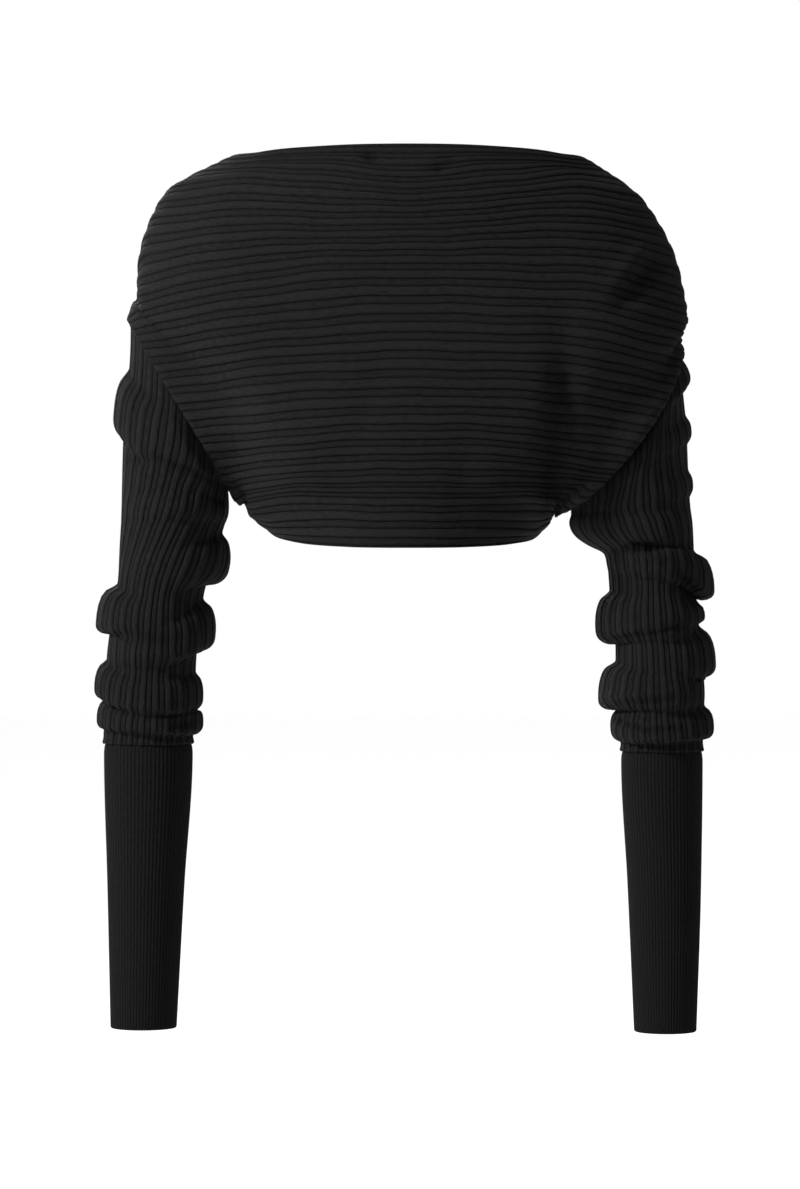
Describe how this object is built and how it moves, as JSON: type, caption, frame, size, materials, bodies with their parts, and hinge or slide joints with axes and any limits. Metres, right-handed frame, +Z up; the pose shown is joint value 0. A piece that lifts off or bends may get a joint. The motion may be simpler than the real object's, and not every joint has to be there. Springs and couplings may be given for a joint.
{
  "type": "knitted shrug",
  "caption": "Ribbed knit shrug kept in its worn hollow form: a cropped back panel open at the front, slouched sleeves and long close cuffs.",
  "frame": {"origin": "midway between the tops of the wearer's shoulders, 24 mm below the top of the back neck edge", "axes": "+X to the wearer's right, +Y to the wearer's front, +Z up"},
  "size_m": [0.4971, 0.1728, 0.7005],
  "materials": {
    "rib_knit": "matte ribbed knit",
    "cuff_knit": "matte fine rib knit"
  },
  "bodies": {
    "root": {"body_panel": "rib_knit", "sleeve_left": "rib_knit", "sleeve_right": "rib_knit", "cuff_left": "cuff_knit", "cuff_right": "cuff_knit"}
  },
  "joints": []
}
